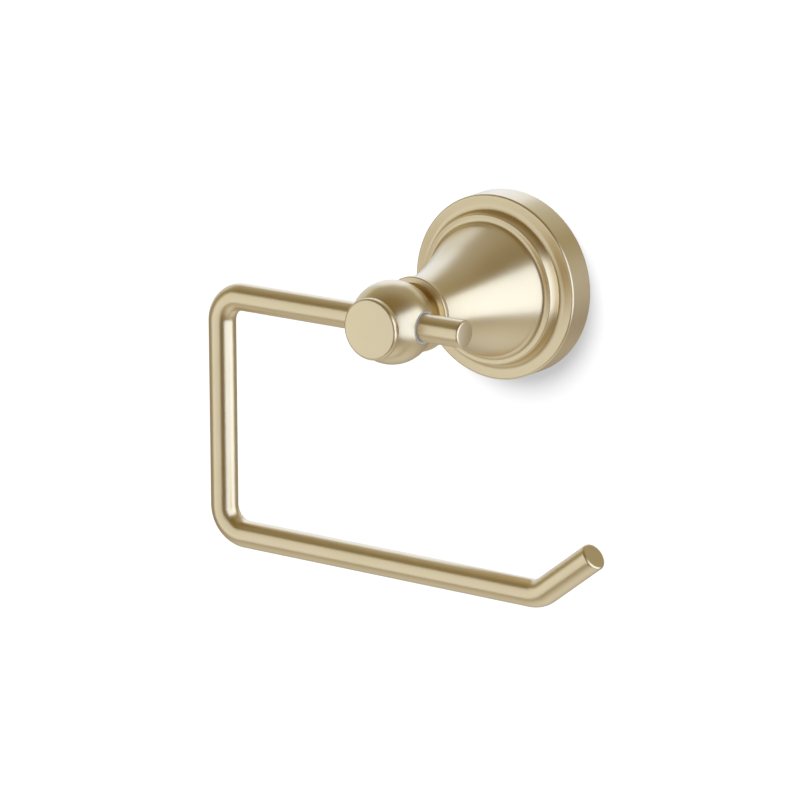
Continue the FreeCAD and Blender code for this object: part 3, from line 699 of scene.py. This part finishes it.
tip = np.array((arm_right + tip_length * math.cos(tip_angle), -arm_drop + tip_length * math.sin(tip_angle)))
stub_offset, stub_radius, stub_rise = rod_end(stub_dome)
tip_offset, tip_radius, tip_rise = rod_end(0.0)
line, way = route([
    (stub_reach - stub_rise, 0),
    (-arm_left, 0),
    (-arm_left, -arm_drop),
    (arm_right, -arm_drop),
    tip - tip_rise * np.array((math.cos(tip_angle), math.sin(tip_angle))),
], bend_radius, bar_step)
line = np.vstack((
    line[:1] - way[:1] * stub_offset[::-1, None],
    line,
    line[-1:] + way[-1:] * tip_offset[:, None],
))
way = np.vstack((np.repeat(way[:1], len(stub_offset), 0), way, np.repeat(way[-1:], len(tip_offset), 0)))
bulk = np.full(len(line) - len(stub_radius) - len(tip_radius), bar_radius)
radius = np.concatenate((stub_radius[::-1], bulk, tip_radius))[:, None]
t = np.linspace(0, 2 * math.pi, bar_sides, endpoint=False)
rings = np.stack((
    line[:, :1] - way[:, 1:] * radius * np.cos(t),
    -pivot + radius * np.sin(t),
    line[:, 1:] + way[:, :1] * radius * np.cos(t),
), axis=-1)
bar = skin("pivot_arm_bar", rings, poles=[(stub_reach, -pivot, 0), (tip[0], -pivot, tip[1])])

travelled = np.concatenate(([0.0], np.cumsum(np.linalg.norm(np.diff(line, axis=0), axis=1))))[:, None]
rod_place = np.stack((travelled * np.ones_like(t), bar_radius * np.cos(t) + 0 * travelled,
                      bar_radius * np.sin(t) + 0 * travelled), axis=-1).reshape(-1, 3)
rod_place = np.vstack((rod_place, (0, 0, 0), (travelled[-1, 0], 0, 0)))
along_rod = bar.data.attributes.new("along_rod", "FLOAT_VECTOR", "POINT")
along_rod.data.foreach_set("vector", rod_place.astype(np.float32).ravel())


def lines_along_rod(tree):
    """Linishing lines that run along the rod: the coordinate is the place round the rod per line spacing,
    and the distance along it per line length."""
    place = add_node(tree, "ShaderNodeAttribute", attribute_name="along_rod").outputs["Vector"]
    return add_node(tree, "ShaderNodeVectorMath", {0: place, 1: (1 / line_length, 1 / line_spacing,
                                                                 1 / line_spacing)},
                    operation="MULTIPLY").outputs[0]


bar.data.materials.append(satin_brass("brushed_brass_rod", lines_along_rod, rod_gloss))
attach(bar, "arm")
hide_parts("pivot_arm")


# ---- Pivot bushes -------------------------------------------------------------------------------------
# Two plain bushes of grey acetal nylon, pressed into the ball. Each shows as a thin pale lip round the
# bar, and carries the bar so that brass never turns on brass.

bush_bore = 4.05 * MM
lip_round = 0.12 * MM
lip_fall = 0.05 * MM
mould_grain = 0.4 * MM
mould_height = 0.004 * MM


def bush_nylon():
    """Moulded unfilled nylon: pale grey and semi-matt."""
    material = new_material("moulded_grey_nylon")
    tree = material.node_tree
    place = add_node(tree, "ShaderNodeTexCoord").outputs["Object"]
    mould = add_node(tree, "ShaderNodeTexNoise", {"Vector": place, "Scale": 1 / mould_grain, "Detail": 3.0})
    tone = add_node(tree, "ShaderNodeMix", {0: mould.outputs["Fac"], 6: linear("#CFCCC4"),
                                            7: linear("#C2BFB8")}, data_type="RGBA")
    relief = add_node(tree, "ShaderNodeBump", {"Height": mould.outputs["Fac"], "Strength": 0.3,
                                               "Distance": mould_height})
    surface = add_node(tree, "ShaderNodeBsdfPrincipled", {
        "Base Color": tone.outputs[2], "Roughness": 0.5, "IOR": 1.53, "Normal": relief.outputs["Normal"]})
    add_node(tree, "ShaderNodeOutputMaterial", {"Surface": surface.outputs[0]})
    return material


nylon = bush_nylon()
for label, side in (("left", -1), ("right", 1)):
    bush = turned_across(f"pivot_bush_{label}_lip", outline([
        (side * bush_inner, bush_bore),
        (side * bush_outer, bush_bore, lip_round),
        (side * (bush_outer - lip_fall), bush_radius, lip_round),
        (side * bush_inner, bush_radius),
    ], step=0.2 * MM))
    bush.data.materials.append(nylon)
    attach(bush, "post")
    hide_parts(f"pivot_bush_{label}")


# ---- Screws, washers and dowel ------------------------------------------------------------------------
# Bought-in stainless steel: the M6 socket screw and its washers inside the post, the dowel, the dog-point
# screw in the ball and the grub screw under the rose. Turned and cold headed, with a dull bright finish.

steel_grain = 0.5 * MM


def stainless():
    """Stainless steel as it comes from the header: grey, fairly bright, with fine turning lines."""
    material = new_material("stainless_steel_machined")
    tree = material.node_tree
    place = add_node(tree, "ShaderNodeTexCoord").outputs["Object"]
    grain = add_node(tree, "ShaderNodeTexNoise", {"Vector": place, "Scale": 1 / steel_grain, "Detail": 4.0})
    tone = add_node(tree, "ShaderNodeMix", {0: grain.outputs["Fac"], 6: linear("#CFCDC8"),
                                            7: linear("#B9B7B3")}, data_type="RGBA")
    matt = add_node(tree, "ShaderNodeMapRange", {"Value": grain.outputs["Fac"],
                                                 "To Min": 0.22, "To Max": 0.36})
    surface = add_node(tree, "ShaderNodeBsdfPrincipled", {
        "Base Color": tone.outputs[2], "Metallic": 1.0, "Roughness": matt.outputs["Result"]})
    add_node(tree, "ShaderNodeOutputMaterial", {"Surface": surface.outputs[0]})
    return material


def finish_node(node, material):
    """Gives a CAD node its material, and leaves its mesh and place alone."""
    frame["nodes"][node].data.materials.clear()
    frame["nodes"][node].data.materials.append(material)


steel = stainless()
for node in ("post_bolt", "plain_washer", "spring_washer", "locating_pin", "arm_retaining_screw",
             "rose_set_screw"):
    finish_node(node, steel)


# ---- Ring nut -----------------------------------------------------------------------------------------
# The slotted brass ring nut behind the rose. It is hidden when the holder is on the wall, so it is left
# as turned, without brushing or coating.


def raw_brass():
    """Bare free-cutting brass off the lathe: yellower and shinier than the coated brass, with tool lines."""
    material = new_material("bare_turned_brass")
    tree = material.node_tree
    lines = add_node(tree, "ShaderNodeTexNoise", {"Vector": lines_around_post(tree), "Scale": 1.0,
                                                  "Detail": 2.0})
    tone = add_node(tree, "ShaderNodeMix", {0: lines.outputs["Fac"], 6: linear("#DDB867"),
                                            7: linear("#C79D4C")}, data_type="RGBA")
    matt = add_node(tree, "ShaderNodeMapRange", {"Value": lines.outputs["Fac"],
                                                 "To Min": 0.15, "To Max": 0.30})
    surface = add_node(tree, "ShaderNodeBsdfPrincipled", {
        "Base Color": tone.outputs[2], "Metallic": 1.0, "Roughness": matt.outputs["Result"]})
    add_node(tree, "ShaderNodeOutputMaterial", {"Surface": surface.outputs[0]})
    return material


finish_node("rose_ring_nut", raw_brass())


# ---- Wall bracket -------------------------------------------------------------------------------------
# The concealed bracket that is screwed to the wall: a plate with two screw holes and a grooved ring that
# the grub screw bites into. Steel, zinc plated, so faintly blue and cloudy.

zinc_cloud = 6 * MM


def zinc_plate():
    """Bright zinc plate over steel: pale grey with a faint blue cast and soft, dull, cloudy patches."""
    material = new_material("zinc_plated_steel")
    tree = material.node_tree
    place = add_node(tree, "ShaderNodeTexCoord").outputs["Object"]
    cloud = add_node(tree, "ShaderNodeTexNoise", {"Vector": place, "Scale": 1 / zinc_cloud, "Detail": 5.0})
    tone = add_node(tree, "ShaderNodeMix", {0: cloud.outputs["Fac"], 6: linear("#C3C8CE"),
                                            7: linear("#AAAFB4")}, data_type="RGBA")
    matt = add_node(tree, "ShaderNodeMapRange", {"Value": cloud.outputs["Fac"], "From Min": 0.3,
                                                 "From Max": 0.7, "To Min": 0.28, "To Max": 0.46})
    surface = add_node(tree, "ShaderNodeBsdfPrincipled", {
        "Base Color": tone.outputs[2], "Metallic": 1.0, "Roughness": matt.outputs["Result"]})
    add_node(tree, "ShaderNodeOutputMaterial", {"Surface": surface.outputs[0]})
    return material


finish_node("wall_bracket", zinc_plate())


# ---- O-ring -------------------------------------------------------------------------------------------
# The nitrile rubber ring in the boss's groove, which grips the front cap.

bloom_patch = 1.5 * MM


def rubber():
    """Moulded nitrile rubber: near black, matt, with a dusty bloom in faint patches."""
    material = new_material("black_nitrile_rubber")
    tree = material.node_tree
    place = add_node(tree, "ShaderNodeTexCoord").outputs["Object"]
    bloom = add_node(tree, "ShaderNodeTexNoise", {"Vector": place, "Scale": 1 / bloom_patch, "Detail": 3.0})
    tone = add_node(tree, "ShaderNodeMix", {0: bloom.outputs["Fac"], 6: linear("#1B1B1C"),
                                            7: linear("#2A2A2B")}, data_type="RGBA")
    surface = add_node(tree, "ShaderNodeBsdfPrincipled", {
        "Base Color": tone.outputs[2], "Roughness": 0.65, "IOR": 1.52})
    add_node(tree, "ShaderNodeOutputMaterial", {"Surface": surface.outputs[0]})
    return material


finish_node("cap_o_ring", rubber())
